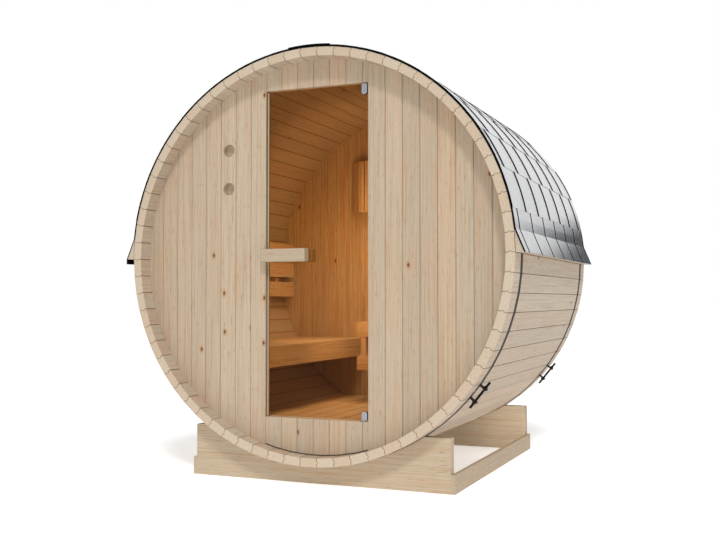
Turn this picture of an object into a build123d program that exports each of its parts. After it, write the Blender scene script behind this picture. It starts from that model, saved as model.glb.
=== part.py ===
from build123d import *
import os
from math import asin, cos, degrees, radians, sin, sqrt, tan

# Barrel sauna: a coopered spruce barrel that lies on two cradles, closed by boarded end walls.
# Millimetres, +Z up, door towards -Y. The origin is on the ground under the middle of the barrel.

# Barrel: flat staves with a bead on one edge and a cove on the other
barrel_radius = 950.0
barrel_length = 1600.0
barrel_lift = 90.0
stave_count = 70
stave_thickness = 40.0
stave_joint_gap = 0.6
stave_ease = 2.0
bead_width = 14.0
bead_height = 5.0
bead_flats = 3

# End walls of upright boards, held in the croze, a groove across every stave
wall_thickness = 40.0
wall_recess = 78.0
croze_depth = 12.0
croze_clearance = 0.3
board_cover = 82.0
board_vee = 5.0
wall_seam = 0.2
vent_radius = 30.0
vent_depth = 28.0
vent_left_share = 0.486
vent_rise_shares = (0.3495, 0.5437)
drain_gap = 5.0

# Doorway and glass door with its pivots
doorway_width = 520.0
doorway_foot_share = 0.784
doorway_head_share = 0.827
door_gap = 6.0
glass_thickness = 8.0
glass_setback = 8.0
pivot_inset = 25.0
hinge_width = 26.0
hinge_top_length = 46.0
hinge_foot_length = 38.0
hinge_plate = 4.0
hinge_shift = 5.0
hinge_corner = 6.0
hinge_core_width = 15.0
hinge_core_height = 18.0
glass_clearance = 0.2
pin_radius = 5.0
pin_clearance = 0.05
pin_depth = 18.0
pin_end_gap = 1.0
pivot_plate_length = 40.0
pivot_plate_width = 18.0
pivot_plate_thickness = 4.0
bush_width = 14.0
bush_floor = 4.0
pocket_clearance = 0.2

# Door handles, one on each face of the glass
handle_length = 231.0
handle_height = 60.0
handle_depth = 45.0
handle_ease = 2.5
handle_standoff = 14.0
handle_rise_share = 0.0085
handle_overlap = 5.0
inner_handle_inset = 15.0
stud_radius = 6.0
stud_inset = 55.0
stud_clearance = 0.4

# Steel bands with their tension screws
band_width = 30.0
band_thickness = 1.5
band_inset = 120.0
band_clearance = 0.2
band_slit = 5.0
tension_stave = 10
lug_spacing = 66.0
lug_thickness = 5.0
lug_height = 38.0
lug_hole_clearance = 0.4
lug_root_share = 0.9
rod_radius = 5.0
rod_length = 145.0
rod_offset = 26.0
nut_flats = 17.0
nut_thickness = 8.0

# Roof: shingle courses over an eave wedge on each side
roof_seat_gap = 0.3
roof_overhang = 4.0
eave_width = 36.0
eave_height = 98.0
shingle_thickness = 4.0
course_count = 8
ridge_cap_width = 210.0

# Stand: two cradles and two side rails
cradle_wrap = 33.1
cradle_shoulder = 121.6
cradle_thickness = 42.0
cradle_inset = 92.0
cradle_seat_gap = 0.3
rail_thickness = 18.0
rail_height = 84.0

# Floor boards on curved bearers
floor_drop_share = 0.816
floor_board_gap = 6.0
floor_board_thickness = 28.0
floor_board_count = 10
floor_end_gap = 3.0
curve_gap = 0.3
bearer_width = 45.0
bearer_count = 3
bearer_inset = 122.0

# Bench along the left side
bench_drop_share = 0.4486
bench_front_share = 0.339
bench_board_gap = 8.0
bench_board_thickness = 28.0
bench_board_count = 4
apron_height = 103.0
apron_thickness = 28.0
ledger_height = 70.0
ledger_thickness = 40.0
ledger_end_gap = 8.0
bench_end_gap = 3.0

# Backrest above the bench
backrest_drop_share = 0.188
backrest_front_share = 0.842
backrest_slat_height = 88.0
backrest_slat_gap = 29.5
backrest_slat_thickness = 22.0
backrest_slat_count = 3
backrest_end_gap = 47.0
batten_width = 40.0
batten_inset = 232.0

# Lamp shade on the back wall
lamp_left_share = 0.4415
lamp_width = 300.0
lamp_front_width = 120.0
lamp_depth = 98.0
lamp_rise_share = 0.341
lamp_height = 305.0
lamp_rib_thickness = 18.0
lamp_rib_inset = 30.0
lamp_slat_width = 24.0
lamp_slat_thickness = 9.0
lamp_front_slats = 4
lamp_side_slats = 4

# Rail guard in the back right corner
guard_left_share = 0.2
guard_depth = 482.0
guard_rail_thickness = 22.0
guard_low_drop_share = 0.616
guard_low_rail_height = 78.0
guard_high_drop_share = 0.425
guard_high_rail_height = 82.0
guard_slat_width = 28.0
guard_slat_thickness = 16.0
guard_slat_inset = 38.0
guard_front_slats = 10
guard_side_slats = 5

# Sizes that follow from those above; places along the radius are shares of it from the axis
axis_height = barrel_radius + barrel_lift
inner_radius = barrel_radius - stave_thickness
stave_turn = 360 / stave_count
ring_turn = stave_turn / 2 - 90
half_turn = radians(stave_turn / 2)
stave_pitch = 2 * barrel_radius * tan(half_turn)
barrel_corner = barrel_radius / cos(half_turn)
wall_radius = inner_radius + croze_depth - croze_clearance
wall_outside = barrel_length / 2 - wall_recess
wall_inside = wall_outside - wall_thickness
wall_middle = (wall_outside + wall_inside) / 2
sill_radius = inner_radius - drain_gap
jamb = doorway_width / 2
doorway_foot = axis_height - doorway_foot_share * barrel_radius
doorway_head = axis_height + doorway_head_share * barrel_radius
hinge_x = jamb - pivot_inset
glass_middle = wall_outside - glass_setback - glass_thickness / 2
glass_front = glass_middle + glass_thickness / 2
glass_back = glass_middle - glass_thickness / 2
glass_foot = doorway_foot + door_gap
glass_head = doorway_head - door_gap
handle_middle = axis_height + handle_rise_share * barrel_radius
band_inner = barrel_corner + band_clearance
band_outer = band_inner + band_thickness
band_middle = barrel_length / 2 - band_inset
roof_bed = band_outer + roof_seat_gap
cradle_outside = barrel_length / 2 - cradle_inset
cradle_seat = band_outer + cradle_seat_gap
cradle_length = 2 * (cradle_seat * sin(radians(cradle_wrap)) + cradle_shoulder)
cradle_height = axis_height - cradle_seat * cos(radians(cradle_wrap))
curve_radius = inner_radius - curve_gap

barrel_axis = Axis((0, 0, axis_height), (0, -1, 0))
barrel_section = Plane((0, 0, axis_height), x_dir=(1, 0, 0), z_dir=(0, -1, 0))

os.makedirs("parts", exist_ok=True)


def keep(piece, node):
    """Name a finished piece and write it to its own file."""
    piece.part.label = node
    export_step(piece.part, f"parts/{node}.step")


def around(reach, turn):
    """Point of the barrel's section, `reach` from the axis and `turn` degrees up from the right."""
    return Vector(reach * cos(radians(turn)), reach * sin(radians(turn)))


def at_height(height):
    """Height above the ground as a height above the barrel's axis."""
    return height - axis_height


def chord(reach, height):
    """Half the width that a circle about the barrel's axis has at a height above the ground."""
    return sqrt(reach**2 - at_height(height)**2)


# Staves
def joint_point(reach, side):
    """Point on the joint line of the lowest stave, on its left (-1) or right (1) edge."""
    return Vector(side * (reach * tan(half_turn) - stave_joint_gap / 2), -reach)


bead_outer = barrel_radius - (stave_thickness - bead_width) / 2
bead_lift = Vector(bead_height * cos(half_turn), bead_height * sin(half_turn))
cove_lift = Vector(bead_height * cos(half_turn), -bead_height * sin(half_turn))


def edge_curve(side, lift):
    """Points of the bead (side 1) or the cove (side -1), from its outer end to its inner end."""
    shares = [step / bead_flats for step in range(bead_flats + 1)]
    return [
        joint_point(bead_outer - share * bead_width, side) + lift * (4 * share * (1 - share))
        for share in shares
    ]


def eased_corner(side):
    """Points that take the sharp outer corner off the lowest stave, from its face to its edge."""
    face_end = joint_point(barrel_radius, side) - Vector(side * stave_ease, 0)
    return [face_end, joint_point(barrel_radius - stave_ease, side)]


with BuildPart() as stave:
    with BuildSketch(barrel_section):
        with BuildLine():
            Polyline(
                *reversed(eased_corner(-1)),
                *eased_corner(1),
                *edge_curve(1, bead_lift),
                joint_point(inner_radius, 1),
                joint_point(inner_radius, -1),
                *reversed(edge_curve(-1, cove_lift)),
                close=True,
            )
        make_face()
    extrude(amount=barrel_length / 2, both=True)
    croze = (2 * stave_pitch, wall_thickness + 2 * croze_clearance, 2 * croze_depth)
    with Locations(*[(0, end * wall_middle, axis_height - inner_radius) for end in (-1, 1)]):
        Box(*croze, mode=Mode.SUBTRACT)

stave_groups = (
    "bottom",
    "lower_right",
    "right_low",
    "right_high",
    "upper_right",
    "top",
    "upper_left",
    "left_high",
    "left_low",
    "lower_left",
)
group_size = stave_count / len(stave_groups)
for place, group_name in enumerate(stave_groups):
    first = round(place * group_size) - int(group_size / 2)
    last = round((place + 1) * group_size) - int(group_size / 2)
    with BuildPart() as stave_group:
        for index in range(first, last):
            add(stave.part.rotate(barrel_axis, index * stave_turn))
    keep(stave_group, f"staves_{group_name}")


# End walls
def board_joints(start, step, limit):
    """Places of the joints between upright boards, from an edge board to the end of the wall."""
    count = int(abs(limit - start) / abs(step))
    return [start + step * (index + 1) for index in range(count)]


def boarded_wall(end, reach, left, right, low, high, joints):
    """Piece of the front (-1) or back (1) wall, trimmed to the staves, with a V at each board joint."""
    with BuildSketch(barrel_section.offset(-end * wall_middle)) as outline:
        RegularPolygon(reach, stave_count, major_radius=False, rotation=ring_turn)
        with Locations(((left + right) / 2, at_height((low + high) / 2))):
            Rectangle(right - left, high - low, mode=Mode.INTERSECT)
    extrude(outline.sketch, amount=wall_thickness / 2, both=True)
    with BuildSketch(Plane.XY) as vees:
        with Locations(*[(x, end * wall_outside) for x in joints]):
            Rectangle(board_vee, board_vee, rotation=45)
    extrude(vees.sketch, amount=2 * axis_height, mode=Mode.SUBTRACT)


def pivot_seat(face, up, spread):
    """Plate and bush of a door pivot, seen from the doorway; `spread` widens it for its pocket."""
    with BuildSketch(Plane.XY.offset(face)) as plate:
        with Locations((hinge_x, -glass_middle)):
            Rectangle(pivot_plate_length + 2 * spread, pivot_plate_width + 2 * spread)
    with BuildSketch(Plane.XY.offset(face)) as bush:
        with Locations((hinge_x, -glass_middle)):
            Rectangle(bush_width + 2 * spread, bush_width + 2 * spread)
    mode = Mode.SUBTRACT if spread else Mode.ADD
    extrude(plate.sketch, amount=up * (pivot_plate_thickness + spread), mode=mode)
    extrude(bush.sketch, amount=up * (pin_depth + bush_floor + spread), mode=mode)


ground_line = 0
roof_line = axis_height + wall_radius

with BuildPart() as front_wall_left:
    joints = board_joints(-jamb, -board_cover, -wall_radius)
    boarded_wall(-1, wall_radius, -wall_radius, -jamb, ground_line, roof_line, joints)
    with BuildSketch(barrel_section.offset(wall_outside)):
        with Locations(*[
            (-vent_left_share * barrel_radius, share * barrel_radius) for share in vent_rise_shares
        ]):
            Circle(vent_radius)
    extrude(amount=-vent_depth, mode=Mode.SUBTRACT)
keep(front_wall_left, "front_wall_left")

with BuildPart() as front_wall_right:
    joints = board_joints(jamb, board_cover, wall_radius)
    boarded_wall(-1, wall_radius, jamb, wall_radius, ground_line, roof_line, joints)
keep(front_wall_right, "front_wall_right")

infill = jamb - wall_seam
infill_joints = board_joints(-jamb, board_cover, jamb)
with BuildPart() as front_wall_head:
    boarded_wall(-1, wall_radius, -infill, infill, doorway_head, roof_line, infill_joints)
    pivot_seat(doorway_head, 1, pocket_clearance)
keep(front_wall_head, "front_wall_head")

with BuildPart() as front_wall_sill:
    boarded_wall(-1, sill_radius, -infill, infill, ground_line, doorway_foot, infill_joints)
    pivot_seat(doorway_foot, -1, pocket_clearance)
keep(front_wall_sill, "front_wall_sill")

with BuildPart() as back_wall:
    right_joints = board_joints(-board_cover / 2, board_cover, wall_radius)
    joints = right_joints + [-x for x in right_joints]
    boarded_wall(1, wall_radius, -wall_radius, wall_radius, ground_line, roof_line, joints)
keep(back_wall, "back_wall")

# Door pivots and glass door
door_section = barrel_section.offset(glass_middle)
pivots = (("top", glass_head, doorway_head, 1, hinge_top_length),
          ("bottom", glass_foot, doorway_foot, -1, hinge_foot_length))

for name, edge, face, up, length in pivots:
    with BuildPart() as pivot_plate:
        pivot_seat(face, up, 0)
        with BuildSketch(Plane.XY.offset(face)):
            with Locations((hinge_x, -glass_middle)):
                Circle(pin_radius + pin_clearance)
        extrude(amount=up * (pin_depth + pin_end_gap), mode=Mode.SUBTRACT)
    keep(pivot_plate, f"pivot_plate_{name}")

    with BuildPart() as hinge:
        with BuildSketch(door_section):
            with Locations((hinge_x + hinge_shift, at_height(edge - up * length / 2))):
                Rectangle(hinge_width, length)
            far_corners = vertices().sort_by(Axis.Y, reverse=up < 0)[:2]
            chamfer(far_corners, hinge_corner)
        extrude(amount=glass_thickness / 2 + hinge_plate, both=True)
        with BuildSketch(door_section):
            with Locations((hinge_x, at_height(edge))):
                Rectangle(2 * hinge_width, 2 * length)
                Rectangle(hinge_core_width, 2 * hinge_core_height, mode=Mode.SUBTRACT)
        extrude(amount=glass_thickness / 2 + glass_clearance, both=True, mode=Mode.SUBTRACT)
        with BuildSketch(Plane.XY.offset(edge - up * hinge_core_height / 2)):
            with Locations((hinge_x, -glass_middle)):
                Circle(pin_radius)
        extrude(amount=up * (hinge_core_height / 2 + door_gap + pin_depth))
    keep(hinge, f"hinge_{name}")

handle_left = -jamb - handle_overlap
stud_places = (handle_left + stud_inset, handle_left + handle_length - stud_inset)

with BuildPart() as door_glass:
    with BuildSketch(door_section):
        with Locations((0, at_height((glass_foot + glass_head) / 2))):
            Rectangle(doorway_width - 2 * door_gap, glass_head - glass_foot)
        for name, edge, face, up, length in pivots:
            with Locations((hinge_x, at_height(edge))):
                Rectangle(
                    hinge_core_width + 2 * glass_clearance,
                    2 * (hinge_core_height + glass_clearance),
                    mode=Mode.SUBTRACT,
                )
        with Locations(*[(x, at_height(handle_middle)) for x in stud_places]):
            Circle(stud_radius + stud_clearance, mode=Mode.SUBTRACT)
    extrude(amount=glass_thickness / 2, both=True)
keep(door_glass, "door_glass")

handle_outside_back = glass_front + handle_standoff
with BuildPart() as handle_outside:
    with BuildSketch(barrel_section.offset(handle_outside_back)):
        with Locations((handle_left + handle_length / 2, at_height(handle_middle))):
            Rectangle(handle_length, handle_height)
    extrude(amount=handle_depth)
    chamfer(handle_outside.edges(), handle_ease)
    with BuildSketch(barrel_section.offset(handle_outside_back)):
        with Locations(*[(x, at_height(handle_middle)) for x in stud_places]):
            Circle(stud_radius)
    extrude(amount=-(2 * handle_standoff + glass_thickness))
keep(handle_outside, "handle_outside")

inner_handle_left = -jamb + inner_handle_inset
inner_handle_right = handle_left + handle_length
with BuildPart() as handle_inside:
    with BuildSketch(barrel_section.offset(glass_back - handle_standoff)):
        with Locations(((inner_handle_left + inner_handle_right) / 2, at_height(handle_middle))):
            Rectangle(inner_handle_right - inner_handle_left, handle_height)
    extrude(amount=-handle_depth)
    chamfer(handle_inside.edges(), handle_ease)
keep(handle_inside, "handle_inside")

# Bands with lugs, and the screws that pull the lugs together
tension_angle = tension_stave * stave_turn - 90
tension_foot = around(band_outer * cos(half_turn), tension_angle)
tangent = around(1, tension_angle + 90)
outward = around(1, tension_angle)
for name, end in (("front", -1), ("rear", 1)):
    tension_plane = Plane(
        (tension_foot.X, end * band_middle, axis_height + tension_foot.Y),
        x_dir=(tangent.X, 0, tangent.Y),
        z_dir=(outward.X, 0, outward.Y),
    )
    rod_centre = tension_plane.from_local_coords((0, 0, rod_offset))
    rod_plane = Plane(rod_centre, x_dir=(0, 1, 0), z_dir=(tangent.X, 0, tangent.Y))

    with BuildPart() as band:
        with BuildSketch(barrel_section.offset(-end * band_middle)):
            RegularPolygon(band_outer, stave_count, rotation=ring_turn)
            RegularPolygon(band_inner, stave_count, rotation=ring_turn, mode=Mode.SUBTRACT)
            with Locations(Location(tuple(tension_foot), tension_angle)):
                Rectangle(lug_height, band_slit, mode=Mode.SUBTRACT)
        extrude(amount=band_width / 2, both=True)
        with BuildSketch(tension_plane.offset(-lug_root_share * band_thickness)):
            for side in (-1, 1):
                with Locations((side * (lug_spacing + lug_thickness) / 2, 0)):
                    Rectangle(lug_thickness, band_width)
        extrude(amount=lug_height)
        with BuildSketch(rod_plane):
            Circle(rod_radius + lug_hole_clearance)
        extrude(amount=rod_length / 2, both=True, mode=Mode.SUBTRACT)
    keep(band, f"band_{name}")

    with BuildPart() as tension_screw:
        with BuildSketch(rod_plane):
            Circle(rod_radius)
        extrude(amount=rod_length / 2, both=True)
        for side in (-1, 1):
            with BuildSketch(rod_plane.offset(side * (lug_spacing / 2 + lug_thickness))):
                RegularPolygon(nut_flats / 2, 6, major_radius=False)
            extrude(amount=side * nut_thickness)
    keep(tension_screw, f"tension_screw_{name}")

# Roof
eave_turn = degrees(asin(eave_height / roof_bed))
course_turn = 90 / course_count
roof_under = roof_bed + roof_seat_gap
roof_length = barrel_length + 2 * roof_overhang
wedge_tip = Vector(roof_bed + eave_width, 0)
roof_tip = Vector(wedge_tip.X + 2 * roof_seat_gap, 0)


def course_top(turn, foot_turn):
    """Point on a course's upper face: two layers thick at its foot, one where the next begins."""
    layers = 2 - (turn - foot_turn) / course_turn
    return around(roof_under + layers * shingle_thickness, turn)


with BuildPart() as eave_wedge_right:
    with BuildSketch(barrel_section):
        with BuildLine():
            Line(around(roof_bed, 0), wedge_tip)
            Line(wedge_tip, around(roof_bed, eave_turn))
            ThreePointArc(
                around(roof_bed, eave_turn), around(roof_bed, eave_turn / 2), around(roof_bed, 0)
            )
        make_face()
    extrude(amount=barrel_length / 2, both=True)
keep(eave_wedge_right, "eave_wedge_right")

lap_turn = degrees(roof_seat_gap / roof_under)
with BuildPart() as shingles_right:
    with BuildSketch(barrel_section):
        with BuildLine():
            tip_top = roof_tip + Vector(2 * shingle_thickness, 0)
            Line(roof_tip, tip_top)
            Line(tip_top, course_top(eave_turn, 0))
            ThreePointArc(
                course_top(eave_turn, 0),
                course_top((eave_turn + course_turn) / 2, 0),
                course_top(course_turn, 0),
            )
            Line(course_top(course_turn, 0), around(roof_under, course_turn))
            ThreePointArc(
                around(roof_under, course_turn),
                around(roof_under, (course_turn + eave_turn) / 2),
                around(roof_under, eave_turn),
            )
            Line(around(roof_under, eave_turn), roof_tip)
        make_face()
        for course in range(1, course_count):
            foot = course * course_turn + lap_turn
            head = (course + 1) * course_turn
            middle = (foot + head) / 2
            with BuildLine():
                Line(around(roof_under, foot), course_top(foot, foot))
                ThreePointArc(course_top(foot, foot), course_top(middle, foot), course_top(head, foot))
                Line(course_top(head, foot), around(roof_under, head))
                ThreePointArc(around(roof_under, head), around(roof_under, middle), around(roof_under, foot))
            make_face()
    extrude(amount=roof_length / 2, both=True)
keep(shingles_right, "shingles_right")

for side_piece, name in ((eave_wedge_right, "eave_wedge_left"), (shingles_right, "shingles_left")):
    with BuildPart() as left_piece:
        add(mirror(side_piece.part, about=Plane.YZ, mode=Mode.PRIVATE))
    keep(left_piece, name)

cap_turn = degrees(ridge_cap_width / 2 / roof_under)
top_course = 90 - course_turn
cap_reach = course_top(90 - cap_turn, top_course).length + roof_seat_gap
cap_foot = around(cap_reach, 90 - cap_turn)
cap_crown = around(cap_reach, 90)
with BuildPart() as ridge_cap:
    with BuildSketch(barrel_section):
        with BuildLine():
            lift = Vector(0, shingle_thickness)
            far_foot = Vector(-cap_foot.X, cap_foot.Y)
            ThreePointArc(cap_foot, cap_crown, far_foot)
            Line(far_foot, far_foot + lift)
            ThreePointArc(far_foot + lift, cap_crown + lift, cap_foot + lift)
            Line(cap_foot + lift, cap_foot)
        make_face()
    extrude(amount=roof_length / 2, both=True)
keep(ridge_cap, "ridge_cap")

# Stand
for name, end in (("front", -1), ("rear", 1)):
    cradle_y = end * (cradle_outside - cradle_thickness / 2)
    with BuildPart() as cradle:
        with BuildSketch(barrel_section.offset(-cradle_y)):
            with Locations((0, at_height(cradle_height / 2))):
                Rectangle(cradle_length, cradle_height)
            Circle(cradle_seat, mode=Mode.SUBTRACT)
        extrude(amount=cradle_thickness / 2, both=True)
    keep(cradle, f"cradle_{name}")

for name, side in (("left", -1), ("right", 1)):
    with BuildPart() as side_rail:
        with BuildSketch(Plane.XY):
            with Locations((side * (cradle_length + rail_thickness) / 2, 0)):
                Rectangle(rail_thickness, 2 * cradle_outside)
        extrude(amount=rail_height)
    keep(side_rail, f"side_rail_{name}")

# Floor
floor_height = axis_height - floor_drop_share * barrel_radius
floor_pitch = (2 * chord(curve_radius, floor_height) + floor_board_gap) / floor_board_count
floor_board_width = floor_pitch - floor_board_gap
floor_under = floor_height - floor_board_thickness
with BuildPart() as floor_boards:
    with BuildSketch(Plane.XY.offset(floor_under)):
        with GridLocations(floor_pitch, 0, floor_board_count, 1):
            Rectangle(floor_board_width, 2 * (wall_inside - floor_end_gap))
    extrude(amount=floor_board_thickness)
    with BuildSketch(barrel_section):
        Circle(curve_radius)
    extrude(amount=barrel_length / 2, both=True, mode=Mode.INTERSECT)
keep(floor_boards, "floor_boards")

with BuildPart() as floor_bearers:
    for index in range(bearer_count):
        bearer_y = (2 * index / (bearer_count - 1) - 1) * (wall_inside - bearer_inset)
        with BuildSketch(barrel_section.offset(-bearer_y)):
            Circle(curve_radius)
            with Locations((0, at_height(floor_under / 2))):
                Rectangle(2 * curve_radius, floor_under, mode=Mode.INTERSECT)
        extrude(amount=bearer_width / 2, both=True)
keep(floor_bearers, "floor_bearers")

# Bench
bench_height = axis_height - bench_drop_share * barrel_radius
bench_front = bench_front_share * barrel_radius
seat_front = bench_front + apron_thickness
seat_pitch = (chord(curve_radius, bench_height) - seat_front) / bench_board_count
bench_board_width = seat_pitch - bench_board_gap
seat_under = bench_height - bench_board_thickness
ledger_foot = seat_under - ledger_height
ledger_length = chord(curve_radius, ledger_foot) - seat_front - ledger_end_gap
bench_length = 2 * (wall_inside - bench_end_gap)
with BuildPart() as bench_seat:
    with BuildSketch(Plane.XY.offset(seat_under)):
        for index in range(bench_board_count):
            with Locations((-(seat_front + (index + 1) * seat_pitch), 0)):
                Rectangle(bench_board_width, bench_length, align=(Align.MIN, Align.CENTER))
    extrude(amount=bench_board_thickness)
    with BuildSketch(barrel_section):
        Circle(curve_radius)
    extrude(amount=barrel_length / 2, both=True, mode=Mode.INTERSECT)
keep(bench_seat, "bench_seat")

with BuildPart() as bench_apron:
    with BuildSketch(Plane.XY.offset(bench_height - apron_height)):
        with Locations((-(bench_front + apron_thickness / 2), 0)):
            Rectangle(apron_thickness, bench_length)
    extrude(amount=apron_height)
keep(bench_apron, "bench_apron")

with BuildPart() as bench_ledgers:
    with BuildSketch(Plane.XY.offset(ledger_foot)):
        ledger_y = wall_inside - ledger_thickness / 2
        with Locations(*[(-(seat_front + ledger_length / 2), end * ledger_y) for end in (-1, 1)]):
            Rectangle(ledger_length, ledger_thickness)
    extrude(amount=ledger_height)
keep(bench_ledgers, "bench_ledgers")

# Backrest
backrest_foot = axis_height - backrest_drop_share * barrel_radius
backrest_front = backrest_front_share * barrel_radius
slat_pitch = backrest_slat_height + backrest_slat_gap
backrest_height = backrest_slat_count * slat_pitch - backrest_slat_gap
backrest_back = backrest_front + backrest_slat_thickness
with BuildPart() as backrest_slats:
    for index in range(backrest_slat_count):
        with BuildSketch(Plane.XY.offset(backrest_foot + index * slat_pitch)):
            with Locations((-(backrest_front + backrest_slat_thickness / 2), 0)):
                Rectangle(backrest_slat_thickness, 2 * (wall_inside - backrest_end_gap))
        extrude(amount=backrest_slat_height)
keep(backrest_slats, "backrest_slats")

with BuildPart() as backrest_battens:
    for side in (-1, 1):
        with BuildSketch(barrel_section.offset(side * (wall_inside - batten_inset))):
            Circle(curve_radius)
            with Locations((-backrest_back, at_height(backrest_foot + backrest_height / 2))):
                Rectangle(
                    curve_radius - backrest_back,
                    backrest_height,
                    align=(Align.MAX, Align.CENTER),
                    mode=Mode.INTERSECT,
                )
        extrude(amount=batten_width / 2, both=True)
keep(backrest_battens, "backrest_battens")

# Lamp shade: two ribs on the wall carry upright slats
lamp_foot = axis_height + lamp_rise_share * barrel_radius
lamp_middle = lamp_width / 2 - lamp_left_share * barrel_radius
lamp_outline = (
    (lamp_middle - lamp_width / 2, wall_inside),
    (lamp_middle - lamp_front_width / 2, wall_inside - lamp_depth),
    (lamp_middle + lamp_front_width / 2, wall_inside - lamp_depth),
    (lamp_middle + lamp_width / 2, wall_inside),
)
lamp_ribs_at = (lamp_foot + lamp_rib_inset, lamp_foot + lamp_height - lamp_rib_inset - lamp_rib_thickness)
with BuildPart() as lamp_ribs:
    for rib_foot in lamp_ribs_at:
        with BuildSketch(Plane.XY.offset(rib_foot)):
            with BuildLine():
                Polyline(*lamp_outline, close=True)
            make_face()
        extrude(amount=lamp_rib_thickness)
keep(lamp_ribs, "lamp_ribs")

lamp_faces = zip(lamp_outline[:-1], lamp_outline[1:], (lamp_side_slats, lamp_front_slats, lamp_side_slats))
with BuildPart() as lamp_slats:
    for start, end, count in lamp_faces:
        run = Vector(*end) - Vector(*start)
        face_plane = Plane(
            (start[0], start[1], lamp_foot), x_dir=(run.X, run.Y, 0), z_dir=(0, 0, 1)
        )
        with BuildSketch(face_plane):
            for index in range(count):
                with Locations(((index + 0.5) * run.length / count, 0)):
                    Rectangle(lamp_slat_width, lamp_slat_thickness, align=(Align.CENTER, Align.MAX))
        extrude(amount=lamp_height)
keep(lamp_slats, "lamp_slats")

# Rail guard: two rails across to the right side, two back to the wall, slats between
guard_left = guard_left_share * barrel_radius
guard_low_rail = axis_height - guard_low_drop_share * barrel_radius
guard_high_rail = axis_height - guard_high_drop_share * barrel_radius
guard_front = wall_inside - guard_depth
guard_rails_at = (
    (guard_low_rail, guard_low_rail_height),
    (guard_high_rail, guard_high_rail_height),
)
guard_back = guard_front + guard_rail_thickness
with BuildPart() as guard_front_rails:
    for foot, height in guard_rails_at:
        reach = chord(curve_radius, foot)
        with BuildSketch(Plane.XY.offset(foot)):
            with Locations((-guard_left, guard_front)):
                Rectangle(guard_left + reach, guard_rail_thickness, align=(Align.MIN, Align.MIN))
        extrude(amount=height)
keep(guard_front_rails, "guard_front_rails")

with BuildPart() as guard_side_rails:
    for foot, height in guard_rails_at:
        with BuildSketch(Plane.XY.offset(foot)):
            with Locations((-guard_left, guard_back)):
                Rectangle(guard_rail_thickness, wall_inside - guard_back, align=(Align.MIN, Align.MIN))
        extrude(amount=height)
keep(guard_side_rails, "guard_side_rails")

guard_slat_foot = guard_low_rail + guard_low_rail_height
front_run = guard_left + chord(curve_radius, guard_low_rail) - 2 * guard_slat_inset
side_run = guard_depth - guard_rail_thickness - 2 * guard_slat_inset
with BuildPart() as guard_slats:
    with BuildSketch(Plane.XY.offset(guard_slat_foot)):
        for index in range(guard_front_slats):
            across = guard_slat_inset + index * front_run / (guard_front_slats - 1)
            with Locations((across - guard_left, guard_front + guard_rail_thickness / 2)):
                Rectangle(guard_slat_width, guard_slat_thickness)
        for index in range(guard_side_slats):
            along = guard_slat_inset + index * side_run / (guard_side_slats - 1)
            with Locations((guard_rail_thickness / 2 - guard_left, guard_back + along)):
                Rectangle(guard_slat_thickness, guard_slat_width)
    extrude(amount=guard_high_rail - guard_slat_foot)
keep(guard_slats, "guard_slats")
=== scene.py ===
import logging
import math
from dataclasses import dataclass, field
from enum import Enum

import bpy
from mathutils import Euler, Matrix, Vector


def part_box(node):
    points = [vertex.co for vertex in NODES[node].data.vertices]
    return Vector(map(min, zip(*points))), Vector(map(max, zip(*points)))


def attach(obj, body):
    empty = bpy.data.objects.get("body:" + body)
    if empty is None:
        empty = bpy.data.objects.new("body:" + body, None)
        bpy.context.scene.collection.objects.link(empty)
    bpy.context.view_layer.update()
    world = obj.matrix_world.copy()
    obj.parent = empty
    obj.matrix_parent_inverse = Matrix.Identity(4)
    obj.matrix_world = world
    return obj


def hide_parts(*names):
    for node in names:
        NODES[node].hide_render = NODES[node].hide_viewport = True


logging.basicConfig(level=logging.INFO, format="%(message)s")
log = logging.getLogger("sauna")

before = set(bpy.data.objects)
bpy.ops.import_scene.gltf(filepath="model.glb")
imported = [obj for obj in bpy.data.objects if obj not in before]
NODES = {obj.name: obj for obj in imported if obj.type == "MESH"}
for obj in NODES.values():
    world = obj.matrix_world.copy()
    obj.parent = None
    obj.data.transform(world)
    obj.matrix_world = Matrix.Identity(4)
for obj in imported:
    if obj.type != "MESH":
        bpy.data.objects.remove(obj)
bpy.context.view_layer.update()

Colour = tuple[float, float, float, float]
Point = tuple[float, float, float]
Outline = list[tuple[float, float]]
Faces = list[tuple[int, ...]]
Material = bpy.types.Material
Object = bpy.types.Object
Socket = bpy.types.NodeSocket
Tree = bpy.types.NodeTree

# Node kinds that recur.
MATH, VECTOR, RANGE = "ShaderNodeMath", "ShaderNodeVectorMath", "ShaderNodeMapRange"
MIX, NOISE, HERE = "ShaderNodeMix", "ShaderNodeTexNoise", "ShaderNodeTexCoord"
JOIN, SPLIT = "ShaderNodeCombineXYZ", "ShaderNodeSeparateXYZ"
PRINCIPLED, OUTPUT = "ShaderNodeBsdfPrincipled", "ShaderNodeOutputMaterial"
STORE, STORED = "GeometryNodeStoreNamedAttribute", "GeometryNodeInputNamedAttribute"
PAINT = "GeometryNodeSetMaterial"

# Lengths are in metres throughout.
MM = 0.001
AXIS_HEIGHT = 1040 * MM
BARREL_RADIUS = 950 * MM
STAVE_TURN = math.radians(360 / 70)
BEAD_INNER = 923 * MM
BEAD_WIDTH = 14 * MM
BEAD_HEIGHT = 5 * MM
DOOR_JAMB = 260 * MM
BOARD_COVER = 82 * MM
# Wider than any piece: each side of the barrel's middle is one board.
WHOLE_PIECE = 2000 * MM

# By how much the patterns of one board may be shifted against those of the next.
BOARD_SHIFT = (31.0, 47.0, 13.0)
# Boards whose tone is above this turn reddish, by this share at most.
WARM_TONE, WARM_SHARE = 0.55, 0.6
# The painted shade along the joint between two staves widens towards the inside of the barrel.
JOINT_WIDE_AT, JOINT_NARROW_AT = BARREL_RADIUS - 36 * MM, BARREL_RADIUS - 20 * MM
JOINT_WIDE_EDGE = 3.2 * MM
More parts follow.
